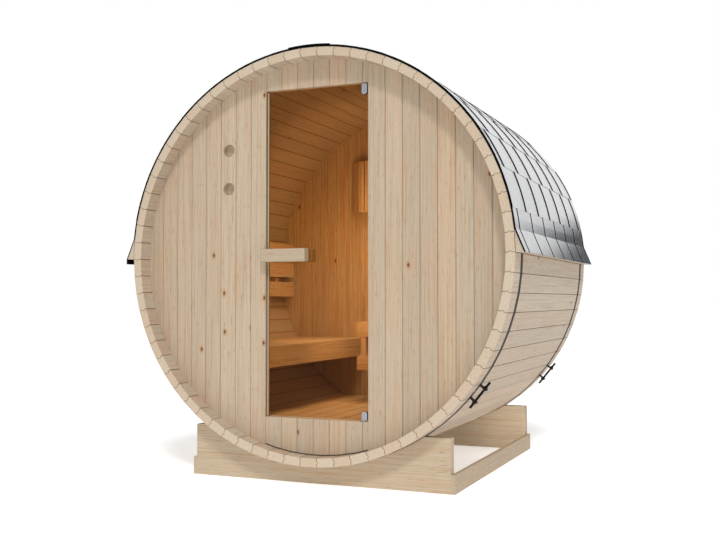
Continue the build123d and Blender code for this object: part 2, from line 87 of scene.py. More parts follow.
# Cells that may hold a knot. Its ring and middle are full up to and gone from a share of a cell,
# and have a strength.
KNOT_CELL = (400 / 3 * MM, 5000 / 23 * MM)
KNOT_RING, KNOT_MIDDLE = (0.05, 0.12, 0.6), (0.03, 0.055, 0.9)
# Growth rings on a sawn end: size across and through the stave, noise that shows, strength.
END_RING_CELL = (50 / 3 * MM, 10 / 3 * MM)
END_RING_SPAN, END_RING_SHARE, END_WARM_SHARE = (0.4, 0.7), 0.3, 0.5
# A face is a sawn end where its normal points this much along the barrel.
SAWN_SPAN = (0.8, 0.9)


class GrainAxis(Enum):
    """Direction in which the fibres of a board run."""

    ACROSS = 0
    DEEP = 1
    UP = 2


class Edge(Enum):
    """Side of the barrel on which a roof slope lies."""

    RIGHT = 1
    LEFT = -1


@dataclass(frozen=True)
class BoardLay:
    """Grain of boards, the axis they are counted along, one board edge on it and their pitch."""

    grain: GrainAxis
    counted: GrainAxis = GrainAxis.ACROSS
    start: float = 0.0
    pitch: float = BOARD_COVER
    # Whether painted shade marks the joints between the boards.
    jointed: bool = False


@dataclass(frozen=True)
class Streak:
    """Lines along the fibres that tint the wood, from a low level of noise and fully at a high."""

    tint: str
    width: float
    length: float
    low: float
    high: float
    # Strength of a full line; None takes the finish's own.
    share: float | None = None
    detail: float = 2.0


@dataclass(frozen=True)
class JointShade:
    """Painted shade where two boards meet: dark up to its core, and gone from its edge."""

    core: float
    edge: float
    dark: float


@dataclass(frozen=True)
class WoodFinish:
    """Colours of planed, unpainted softwood, and how matt and how ridged it is."""

    pale: str
    warm: str
    grey: str
    late: str
    dash: str = "#8F6A48"
    end: str = "#C4B097"
    knot: str = "#5F3C20"
    halo: str = "#B08050"
    # Painted shade in the gap between two boards or staves.
    joint_shade: str = "#5E4632"
    knot_share: float = 0.1
    streak_share: float = 0.4
    roughness: float = 0.62
    specular: float = 0.28
    relief: float = 0.16
    ring_depth: float = 0.6 * MM


@dataclass(frozen=True)
class RoofFinish:
    """Colours and sheen of mineral felt shingles."""

    granule_light: str = "#A3A6AB"
    granule_dark: str = "#56595E"
    bitumen: str = "#0E0F10"
    bitumen_roughness: float = 0.6
    roughness: float = 0.22
    gloss: float = 2.4
    coat: float = 1.0
    # Real grit is 1 to 2 mm across. It is drawn coarser, so that it shows.
    grit: float = 5 * MM
    patch: float = 180 * MM
    least_dark: float = 0.1
    tab_share: float = 0.25
    relief: float = 0.12
    grit_depth: float = 1.0 * MM


@dataclass(frozen=True)
class MetalFinish:
    """Colour and polish of a metal; metallic is 0 for a dull finish without metal sheen."""

    colour: str
    roughness: float
    fleck: str
    metallic: float = 1.0
    specular: float = 0.5
    cloud: float = 14 * MM


@dataclass(frozen=True)
class GlassFinish:
    """What each face of the door's glass lets through and mirrors."""

    tint: str = "#EEDCBF"
    mirror: str = "#FFFFFF"
    # Float glass has 1.52. The pane mirrors next to nothing of the white room, hence the low value.
    shine: float = 1.14
    polish: float = 0.02


# Late wood lines lie 1 to 3 mm apart. The year rings are drawn coarser, so that they show.
HEARTWOOD = Streak("warm", 10 * MM, 420 * MM, 0.5, 0.68, 0.6)
YEAR_RINGS = Streak("late", 4.5 * MM, 520 * MM, 0.48, 0.68)
FIBRES = Streak("late", 1.6 * MM, 90 * MM, 0.48, 0.75)
DASHES = Streak("dash", 3.2 * MM, 48 * MM, 0.72, 0.8, 0.55, 0.0)
STREAKS = (HEARTWOOD, YEAR_RINGS, FIBRES, DASHES)
STAVE_JOINT_SHADE = JointShade(0.6 * MM, 2.0 * MM, 0.85)
BOARD_JOINT_SHADE = JointShade(0.4 * MM, 1.6 * MM, 0.45)

# Planed spruce: pale and nearly matt, with brown lines along each board and a few small knots.
STAVE_WOOD = WoodFinish(
    pale="#C8BAA7", warm="#C3A88D", grey="#BBAD9B", late="#9F8367", end="#C9BAA5", knot_share=0.06
)
WALL_WOOD = WoodFinish(
    pale="#C2B29B", warm="#C29D7B", grey="#B5A692", late="#9A7C5C", knot_share=0.13
)
STAND_WOOD = WoodFinish(
    pale="#C1B199", warm="#BE9F7E", grey="#B4A48E", late="#9C7E5D", knot_share=0.08
)
INSIDE_WOOD = WoodFinish(
    pale="#D8C4A6", warm="#D2A578", grey="#CCB697", late="#A67A50", dash="#7E5230", streak_share=0.6
)
BACK_WOOD = WoodFinish(
    pale="#CDBBA1", warm="#C9976A", grey="#BBA88F", late="#97714C", dash="#7A5030",
    knot_share=0.16, streak_share=0.65,
)
# Clear handle wood: pale and matt too, without knots.
HANDLE_WOOD = WoodFinish(
    pale="#B8A891", warm="#B49F85", grey="#AD9D87", late="#9D8262", knot_share=0.0
)
# Steel strap: dark brown and dull, not metallic, with hardly any highlight.
BAND_METAL = MetalFinish("#2E241D", 0.6, "#1C1612", metallic=0.0, specular=0.2)
# Blackened steel screws: dark, with a soft metal highlight.
SCREW_METAL = MetalFinish("#2C2E31", 0.42, "#1D1E20")
# Brushed steel hinges: bright and silvery, with a broad highlight.
HINGE_METAL = MetalFinish("#A6ABB2", 0.25, "#8F949B")


def linear(code: str) -> Colour:
    """Turn an sRGB hex code into the linear colour that a shader takes.

    Args:
        code: Colour such as "#E3CBAE".

    Returns:
        Red, green, blue and alpha.
    """
    parts = [int(code[place:place + 2], 16) / 255 for place in (1, 3, 5)]
    return (*[p / 12.92 if p <= 0.04045 else ((p + 0.055) / 1.055) ** 2.4 for p in parts], 1.0)


def add(
    tree: Tree,
    kind: str,
    inputs: dict[int | str, object] | None = None,
    out: int | str = 0,
    **settings: object,
) -> Socket | bpy.types.Node:
    """Add a node, set it up and link it.

    Args:
        tree: Tree that takes the node.
        kind: Node type.
        inputs: Value or socket for each input, by index or name.
        out: Output that is wanted.
        **settings: Properties of the node.

    Returns:
        The wanted output socket, or the node if it has none.
    """
    node = tree.nodes.new(kind)
    for name, value in settings.items():
        setattr(node, name, value)
    for key, value in (inputs or {}).items():
        if isinstance(value, Socket):
            tree.links.new(value, node.inputs[key])
        else:
            node.inputs[key].default_value = value
    return node.outputs[out] if len(node.outputs) else node


def new_material(name: str) -> tuple[Material, Tree]:
    """Make an empty node material.

    Args:
        name: What the real material is.

    Returns:
        The material and its cleared tree.
    """
    material = bpy.data.materials.new(name)
    material.use_nodes = True
    material.node_tree.nodes.clear()
    return material, material.node_tree


def dress(node: str, material: Material) -> None:
    """Give a CAD node its material.

    Args:
        node: Name of the CAD node.
        material: Finish that it gets.
    """
    mesh = NODES[node].data
    mesh.materials.clear()
    mesh.materials.append(material)
    log.info("%s: %s", node, material.name)


def show(thing: Object) -> None:
    """Put an object in the scene."""
    bpy.context.scene.collection.objects.link(thing)


def tie(piece: Object, body: str) -> Object:
    """Tie a finished piece to a body.

    Args:
        piece: Piece with its final mesh, in the scene.
        body: CAD body that it rides on.

    Returns:
        The same piece.
    """
    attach(piece, body)
    log.info("%s: %d faces", piece.name, len(piece.data.polygons))
    return piece


def mesh_object(
    name: str, points: list[Point], faces: Faces, material: Material | None = None
) -> Object:
    """Make an object from points and faces, and show it if it has a material.

    Args:
        name: Name of the object.
        points: Corner points.
        faces: Corner numbers of each face.
        material: What it is made of, or None for a shape that isn't shown yet.

    Returns:
        The new object.
    """
    mesh = bpy.data.meshes.new(name)
    mesh.from_pydata(points, [], faces)
    mesh.update()
    thing = bpy.data.objects.new(name, mesh)
    if material:
        mesh.materials.append(material)
        show(thing)
    return thing


def swept_profile(profile: Outline, half: float) -> tuple[list[Point], Faces]:
    """Sweep a closed outline in X and Z along Y.

    Args:
        profile: Outline, in order.
        half: Half the length along Y.

    Returns:
        Corner points and faces, the two end faces last.
    """
    count = len(profile)
    points = [(x, side * half, z) for side in (-1, 1) for x, z in profile]
    faces = [(i, (i + 1) % count, (i + 1) % count + count, i + count) for i in range(count)]
    faces += [tuple(reversed(range(count))), tuple(range(count, 2 * count))]
    return points, faces


def new_group(name: str, sockets: dict[str, str]) -> tuple[Tree, dict[str, Socket]]:
    """Make a geometry node group with named inputs and one geometry output.

    Args:
        name: What the group makes.
        sockets: Kind of each named input, such as Float or Int.

    Returns:
        The group and its inputs by name.
    """
    tree = bpy.data.node_groups.new(name, "GeometryNodeTree")
    for label, kind in sockets.items():
        tree.interface.new_socket(label, in_out="INPUT", socket_type=f"NodeSocket{kind}")
    tree.interface.new_socket("Geometry", in_out="OUTPUT", socket_type="NodeSocketGeometry")
    given = tree.nodes.new("NodeGroupInput").outputs
    return tree, {label: given[label] for label in sockets}


def grow(name: str, group: Tree, values: dict[str, object]) -> Object:
    """Run a node group and keep its result as the plain mesh of a new object.

    Args:
        name: Name of the object.
        group: Geometry node group.
        values: Value of each named input.

    Returns:
        The object, in the scene and with no modifier left.
    """
    piece = mesh_object(name, [], [])
    show(piece)
    modifier = piece.modifiers.new("grow", "NODES")
    modifier.node_group = group
    for item in group.interface.items_tree:
        if item.name in values:
            modifier[item.identifier] = values[item.name]
    shown = bpy.context.evaluated_depsgraph_get()
    mesh = bpy.data.meshes.new_from_object(piece.evaluated_get(shown), depsgraph=shown)
    piece.modifiers.clear()
    piece.data = mesh
    return piece


class SpruceMaterial:
    """Planed spruce whose boards differ in tone, with lines along the fibres and knots."""

    def __init__(
        self,
        name: str,
        finish: WoodFinish,
        lay: BoardLay | None,
        rear: tuple[WoodFinish, float] | None = None,
    ) -> None:
        """Build the material.

        Args:
            name: What the real material is.
            finish: Colours and roughness.
            lay: How the boards lie, or None for staves round the barrel.
            rear: Finish behind a plane across the barrel, and the plane's Y, or None.
        """
        self.material, self.tree = new_material(name)
        self.finish = finish
        self.joint_shade: Socket | None = None
        self.rear: WoodFinish | None = None
        self.behind: Socket | None = None
        tree = self.tree
        self.axes = list(add(tree, SPLIT, {0: add(tree, HERE, out="Object")}).node.outputs)
        if rear:
            self.rear, plane = rear
            self.behind = add(tree, MATH, {0: self.axes[1], 1: plane}, operation="GREATER_THAN")
        across, along, deep, index = self._stave_place() if lay is None else self._board_place(lay)
        tone = add(tree, "ShaderNodeTexWhiteNoise", {"W": index}, "Color", noise_dimensions="1D")
        shift = add(tree, VECTOR, {0: tone, 1: BOARD_SHIFT}, operation="MULTIPLY")
        place = add(tree, JOIN, {"X": across, "Y": along, "Z": deep})
        self.place = add(tree, VECTOR, {0: place, 1: shift})
        self.tone = list(add(tree, "ShaderNodeSeparateColor", {0: tone}).node.outputs)
        self._shade(end_grain=lay is None)

    def _stave_place(self) -> tuple[Socket, Socket, Socket, Socket]:
        """Find the place on a stave, and paint shade along the joints.

        Returns:
            Place round the barrel, along it and out from its axis, and the stave's number.
        """
        tree, (level, along, up) = self.tree, self.axes
        rise = add(tree, MATH, {0: up, 1: AXIS_HEIGHT}, operation="SUBTRACT")
        turn = add(tree, MATH, {0: rise, 1: level}, operation="ARCTAN2")
        stave = add(tree, MATH, {0: turn, 1: STAVE_TURN}, operation="DIVIDE")
        index = add(tree, MATH, {0: stave}, operation="FLOOR")
        across = add(tree, MATH, {0: turn, 1: BARREL_RADIUS}, operation="MULTIPLY")
        section = add(tree, JOIN, {"X": level, "Z": rise})
        reach = add(tree, VECTOR, {0: section}, "Value", operation="LENGTH")
        self.joint_shade = self._joint_shade_line(stave, reach)
        return across, along, reach, index

    def _joint_shade_line(self, stave: Socket, reach: Socket) -> Socket:
        """Paint shade along the joint between two staves, which follows the bead where it shows.

        Args:
            stave: Place round the barrel, counted in staves.
            reach: Distance from the barrel's axis.

        Returns:
            Strength of the painted shade at the joint.
        """
        tree, joint_shade = self.tree, STAVE_JOINT_SHADE
        nearest = add(tree, MATH, {0: stave}, operation="ROUND")
        beside = add(tree, MATH, {0: stave, 1: nearest}, operation="SUBTRACT")
        for factor in (STAVE_TURN, reach):
            beside = add(tree, MATH, {0: beside, 1: factor}, operation="MULTIPLY")
        bead = {1: BEAD_INNER, 2: BEAD_INNER + BEAD_WIDTH, 3: -1.0, 4: 1.0}
        share = add(tree, RANGE, {"Value": reach, **bead})
        swell = add(tree, MATH, {0: share, 1: share}, operation="MULTIPLY")
        swell = add(tree, RANGE, {"Value": swell, 3: BEAD_HEIGHT, 4: 0.0})
        apart = add(tree, MATH, {0: beside, 1: swell}, operation="SUBTRACT")
        apart = add(tree, MATH, {0: apart}, operation="ABSOLUTE")
        opening = {1: JOINT_WIDE_AT, 2: JOINT_NARROW_AT, 3: JOINT_WIDE_EDGE, 4: joint_shade.edge}
        edge = add(tree, RANGE, {"Value": reach, **opening})
        return add(tree, RANGE, {"Value": apart, 1: joint_shade.core, 2: edge, 3: joint_shade.dark, 4: 0.0})

    def _board_place(self, lay: BoardLay) -> tuple[Socket, Socket, Socket, Socket]:
        """Find the place on a straight board, and paint shade along the joints if they show.

        Args:
            lay: How the boards lie.

        Returns:
            Place across the board, along it and through it, and the board's number.
        """
        tree, axes, joint_shade = self.tree, self.axes, BOARD_JOINT_SHADE
        board = add(tree, MATH, {0: axes[lay.counted.value], 1: lay.start}, operation="SUBTRACT")
        board = add(tree, MATH, {0: board, 1: lay.pitch}, operation="DIVIDE")
        index = add(tree, MATH, {0: board}, operation="FLOOR")
        if lay.jointed:
            nearest = add(tree, MATH, {0: board}, operation="ROUND")
            beside = add(tree, MATH, {0: board, 1: nearest}, operation="SUBTRACT")
            beside = add(tree, MATH, {0: beside}, operation="ABSOLUTE")
            line = {1: joint_shade.core / lay.pitch, 2: joint_shade.edge / lay.pitch, 3: joint_shade.dark, 4: 0.0}
            self.joint_shade = add(tree, RANGE, {"Value": beside, **line})
        first, second = (axes[place] for place in range(3) if place != lay.grain.value)
        return first, axes[lay.grain.value], second, index

    def _noise(self, streak: Streak) -> Socket:
        """Draw noise out along the fibres.

        Args:
            streak: Size and detail of the lines.

        Returns:
            The noise.
        """
        scale = (1 / streak.width, 1 / streak.length, 1 / streak.width)
        drawn = add(self.tree, VECTOR, {0: self.place, 1: scale}, operation="MULTIPLY")
        inputs = {"Vector": drawn, "Scale": 1.0, "Detail": streak.detail}
        return add(self.tree, NOISE, inputs, "Fac")

    def _paint(self, part: str) -> Colour | Socket:
        """Colour of one part of the wood, which may differ behind the plane.

        Args:
            part: Name of the colour in the finish.

        Returns:
            The colour, or the socket that chooses between two.
        """
        front = linear(getattr(self.finish, part))
        if self.rear is None:
            return front
        both = {"Factor": self.behind, 6: front, 7: linear(getattr(self.rear, part))}
        return add(self.tree, MIX, both, 2, data_type="RGBA")

    def _shade(self, end_grain: bool) -> None:
        """Set colour, roughness and relief of the wood.

        Args:
            end_grain: Whether faces across the barrel are sawn ends.
        """
        finish, tree = self.finish, self.tree
        noises = {streak: self._noise(streak) for streak in STREAKS}
        spans = [(self.tone[1], "warm", WARM_TONE, 1.0, WARM_SHARE)]
        for streak, noise in noises.items():
            share = finish.streak_share if streak.share is None else streak.share
            spans.append((noise, streak.tint, streak.low, streak.high, share))
        layers = [(self.tone[0], self._paint("grey"))]
        for pattern, tint, low, high, share in spans:
            amount = add(tree, RANGE, {"Value": pattern, 1: low, 2: high, 4: share})
            layers.append((amount, self._paint(tint)))
        if finish.knot_share > 0:
            layers += self._knots()
        if end_grain:
            layers.append(self._end_grain())
        # Painted shade where two boards or staves meet.
        if self.joint_shade is not None:
            layers.append((self.joint_shade, linear(finish.joint_shade)))
        colour = self._paint("pale")
        for amount, tint in layers:
            colour = add(tree, MIX, {"Factor": amount, 6: colour, 7: tint}, 2, data_type="RGBA")
        rings = {"Strength": finish.relief, "Distance": finish.ring_depth}
        looks = {
            "Base Color": colour,
            "Roughness": finish.roughness,
            "Normal": add(tree, "ShaderNodeBump", {**rings, "Height": noises[YEAR_RINGS]}),
            "Specular IOR Level": finish.specular,
        }
        add(tree, OUTPUT, {"Surface": add(tree, PRINCIPLED, looks)})

    def _knots(self) -> list[tuple[Socket, Colour]]:
        """Draw small round knots with a reddish ring, in some places only.

        Returns:
            Amount and colour of the rings, then of the middles.
        """
        tree, finish = self.tree, self.finish
        scale = (1 / KNOT_CELL[0], 1 / KNOT_CELL[1], 0.0)
        cells = add(tree, VECTOR, {0: self.place, 1: scale}, operation="MULTIPLY")
        cells = {"Vector": cells, "Scale": 1.0, "Randomness": 1.0}
        near = add(tree, "ShaderNodeTexVoronoi", cells, "Distance", voronoi_dimensions="2D")
        pick = add(tree, "ShaderNodeSeparateColor", {0: near.node.outputs["Color"]})
        chosen = add(tree, MATH, {0: pick, 1: finish.knot_share}, operation="LESS_THAN")
        layers = []
        for (full, gone, share), tint in ((KNOT_RING, finish.halo), (KNOT_MIDDLE, finish.knot)):
            amount = add(tree, RANGE, {"Value": near, 1: full, 2: gone, 3: share, 4: 0.0})
            amount = add(tree, MATH, {0: amount, 1: chosen}, operation="MULTIPLY")
            layers.append((amount, linear(tint)))
        return layers

    def _end_grain(self) -> tuple[Socket, Socket]:
        """Draw sawn ends, with growth rings across the stave instead of lines along it.

        Returns:
            Amount and colour of the ends.
        """
        tree, finish = self.tree, self.finish
        facing = add(tree, SPLIT, {0: add(tree, "ShaderNodeNewGeometry", out="Normal")}, "Y")
        facing = add(tree, MATH, {0: facing}, operation="ABSOLUTE")
        sawn = add(tree, RANGE, {"Value": facing, 1: SAWN_SPAN[0], 2: SAWN_SPAN[1]})
        scale = (1 / END_RING_CELL[0], 0.0, 1 / END_RING_CELL[1])
        flat = add(tree, VECTOR, {0: self.place, 1: scale}, operation="MULTIPLY")
        rings = add(tree, NOISE, {"Vector": flat, "Scale": 1.0, "Detail": 2.0}, "Fac")
        low, high = END_RING_SPAN
        rings = add(tree, RANGE, {"Value": rings, 1: low, 2: high, 4: END_RING_SHARE})
        warmth = add(tree, RANGE, {"Value": self.tone[0], 4: END_WARM_SHARE})
        ends = linear(finish.end)
        for amount, tint in ((warmth, finish.warm), (rings, finish.late)):
            layer = {"Factor": amount, 6: ends, 7: linear(tint)}
            ends = add(tree, MIX, layer, 2, data_type="RGBA")
        return sawn, ends


def metal_material(name: str, finish: MetalFinish) -> Material:
    """Metal with faint cloudy flecks.

    Args:
        name: What the real material is.
        finish: Colour and polish.

    Returns:
        The material.
    """
    material, tree = new_material(name)
    here = add(tree, HERE, out="Object")
    clouds = add(tree, NOISE, {"Vector": here, "Scale": 1 / finish.cloud, "Detail": 3.0}, "Fac")
    tones = {"Factor": clouds, 6: linear(finish.colour), 7: linear(finish.fleck)}
    looks = {
        "Base Color": add(tree, MIX, tones, 2, data_type="RGBA"),
        "Metallic": finish.metallic,
        "Roughness": finish.roughness,
        "Specular IOR Level": finish.specular,
    }
    add(tree, OUTPUT, {"Surface": add(tree, PRINCIPLED, looks)})
    return material


def granule_material(finish: RoofFinish) -> Material:
    """Mineral granules on felt, with a tone for each tab.

    Args:
        finish: Colours and sheen of the roof.

    Returns:
        The material.
    """
    # Pressed grit: speckled grey from near, and bright as wet slate where light strikes at a slant.
    material, tree = new_material("mineral_felt")
    here = add(tree, HERE, out="Object")
    specks, patches = (
        add(tree, NOISE, {"Vector": here, "Scale": 1 / size, "Detail": 2.0}, "Fac")
        for size in (finish.grit, finish.patch)
    )
    tone = add(tree, "ShaderNodeAttribute", out="Fac", attribute_name="tab_tone")
    mottle = finish.least_dark
    for amount, factor in ((specks, patches), (tone, finish.tab_share)):
        mottle = add(tree, MATH, {0: amount, 1: factor, 2: mottle}, operation="MULTIPLY_ADD")
    tones = {"Factor": mottle, 6: linear(finish.granule_light), 7: linear(finish.granule_dark)}
    grit = {"Strength": finish.relief, "Distance": finish.grit_depth, "Height": specks}
    looks = {
        "Base Color": add(tree, MIX, tones, 2, data_type="RGBA"),
        "Roughness": finish.roughness,
        "Normal": add(tree, "ShaderNodeBump", grit),
        "IOR": finish.gloss,
        "Coat Weight": finish.coat,
        "Coat Roughness": finish.roughness,
    }
    add(tree, OUTPUT, {"Surface": add(tree, PRINCIPLED, looks)})
    return material


def plain_material(name: str, code: str, roughness: float, glow: float = 0.0) -> Material:
    """Even surface without shine or pattern.

    Args:
        name: What the real material is.
        code: Colour.
        roughness: From satin to matt.
        glow: Light that it gives off itself.

    Returns:
        The material.
    """
    material, tree = new_material(name)
    looks = {
        "Base Color": linear(code),
        "Roughness": roughness,
        "Specular IOR Level": 0.0,
        "Emission Color": linear(code),
        "Emission Strength": glow,
    }
    add(tree, OUTPUT, {"Surface": add(tree, PRINCIPLED, looks)})
    return material


def glass_material(finish: GlassFinish) -> Material:
    """Tinted pane that mirrors a little at a slant.

    Args:
        finish: Tint and shine of the pane.

    Returns:
        The material.
    """
    # Bronze float glass: the inside shows clearly, but browner, under a faint mirror.
    material, tree = new_material("bronze_float_glass")
    passed = add(tree, "ShaderNodeBsdfTransparent", {"Color": linear(finish.tint)})
    mirrored = {"Color": linear(finish.mirror), "Roughness": finish.polish}
    mirrored = add(tree, "ShaderNodeBsdfGlossy", mirrored)
    slant = add(tree, "ShaderNodeFresnel", {"IOR": finish.shine})
    # Only the face where light enters mirrors: from inside, a slanting view would turn black.
    leaving = add(tree, "ShaderNodeNewGeometry", out="Backfacing")
    entering = add(tree, MATH, {0: 1.0, 1: leaving}, operation="SUBTRACT")
    slant = add(tree, MATH, {0: slant, 1: entering}, operation="MULTIPLY")
    surface = add(tree, "ShaderNodeMixShader", {0: slant, 1: passed, 2: mirrored})
    add(tree, OUTPUT, {"Surface": surface})
    return material


@dataclass
class Barrel:
    """Staves and the wooden wedges under the eaves."""

    finish: WoodFinish = STAVE_WOOD
    groups: tuple[str, ...] = (
        "bottom", "lower_right", "right_low", "right_high", "upper_right",
        "top", "upper_left", "left_high", "left_low", "lower_left",
    )

    def build(self) -> None:
        """Give the staves and the eave wedges their wood."""
        staves = SpruceMaterial("spruce_staves", self.finish, None).material
        for group in self.groups:
            dress(f"staves_{group}", staves)
        along = BoardLay(GrainAxis.DEEP, pitch=WHOLE_PIECE)
        wedge = SpruceMaterial("spruce_wedge", self.finish, along).material
        for side in ("left", "right"):
            dress(f"eave_wedge_{side}", wedge)


@dataclass
class EndWalls:
    """Upright boards at both ends."""

    finish: WoodFinish = WALL_WOOD
    back_finish: WoodFinish = BACK_WOOD

    def build(self) -> None:
        """Give each wall boards that start where its own joints are."""
        from_left, from_right, from_middle = (
            BoardLay(GrainAxis.UP, start=start, jointed=True)
            for start in (-DOOR_JAMB, DOOR_JAMB, -BOARD_COVER / 2)
        )
        left = SpruceMaterial("spruce_wall_left", self.finish, from_left).material
        for piece in ("left", "head", "sill"):
            dress(f"front_wall_{piece}", left)
        right = SpruceMaterial("spruce_wall_right", self.finish, from_right).material
        dress("front_wall_right", right)
        low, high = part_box("back_wall")
        outside = (self.finish, (low.y + high.y) / 2)
        back = SpruceMaterial("spruce_wall_back", self.back_finish, from_middle, outside).material
        dress("back_wall", back)


@dataclass
class Stand:
    """Cradles and side rails."""

    finish: WoodFinish = STAND_WOOD

    def build(self) -> None:
        """Give the cradles grain across and the rails grain along the barrel."""
        across = BoardLay(GrainAxis.ACROSS, GrainAxis.DEEP, pitch=WHOLE_PIECE)
        along = BoardLay(GrainAxis.DEEP, GrainAxis.ACROSS, pitch=WHOLE_PIECE)
        cradle = SpruceMaterial("spruce_cradle", self.finish, across).material
        rail = SpruceMaterial("spruce_rail", self.finish, along).material
        for end in ("front", "rear"):
            dress(f"cradle_{end}", cradle)
        for side in ("left", "right"):
            dress(f"side_rail_{side}", rail)


@dataclass
class Interior:
    """Floor, bench, backrest, lamp shade and rail guard, seen through the glass."""

    finish: WoodFinish = INSIDE_WOOD
    along: tuple[str, ...] = ("floor_boards", "bench_seat", "bench_apron", "guard_side_rails")
    across: tuple[str, ...] = ("floor_bearers", "bench_ledgers", "guard_front_rails", "lamp_ribs")
    upright: tuple[str, ...] = ("backrest_battens", "guard_slats")
    floor_pitch: float = 95.8 * MM
    bearer_pitch: float = 180 * MM
    slat_pitch: float = 30 * MM
    backrest_pitch: float = 117.5 * MM
    shade_pitch: float = 11 * MM

    def build(self) -> None:
        """Give each inside piece grain along its length."""
        deep, level, up = GrainAxis.DEEP, GrainAxis.ACROSS, GrainAxis.UP
        lays = (
            (self.along, "inside_along", BoardLay(deep, pitch=self.floor_pitch)),
            (self.across, "inside_across", BoardLay(level, up, pitch=self.bearer_pitch)),
            (self.upright, "inside_upright", BoardLay(up, pitch=self.slat_pitch)),
            (("backrest_slats",), "backrest", BoardLay(deep, up, pitch=self.backrest_pitch)),
            (("lamp_slats",), "lamp_shade", BoardLay(up, pitch=self.shade_pitch, jointed=True)),
        )
        for nodes, name, lay in lays:
            wood = SpruceMaterial(f"spruce_{name}", self.finish, lay).material
            for node in nodes:
                dress(node, wood)


@dataclass(frozen=True)
class TabRun:
    """Tabs of one shape that are laid together, from one angle up."""

    name: str
    tab: Object
    edge: Edge
    courses: int
    first_turn: float
    width: float
    slot: float


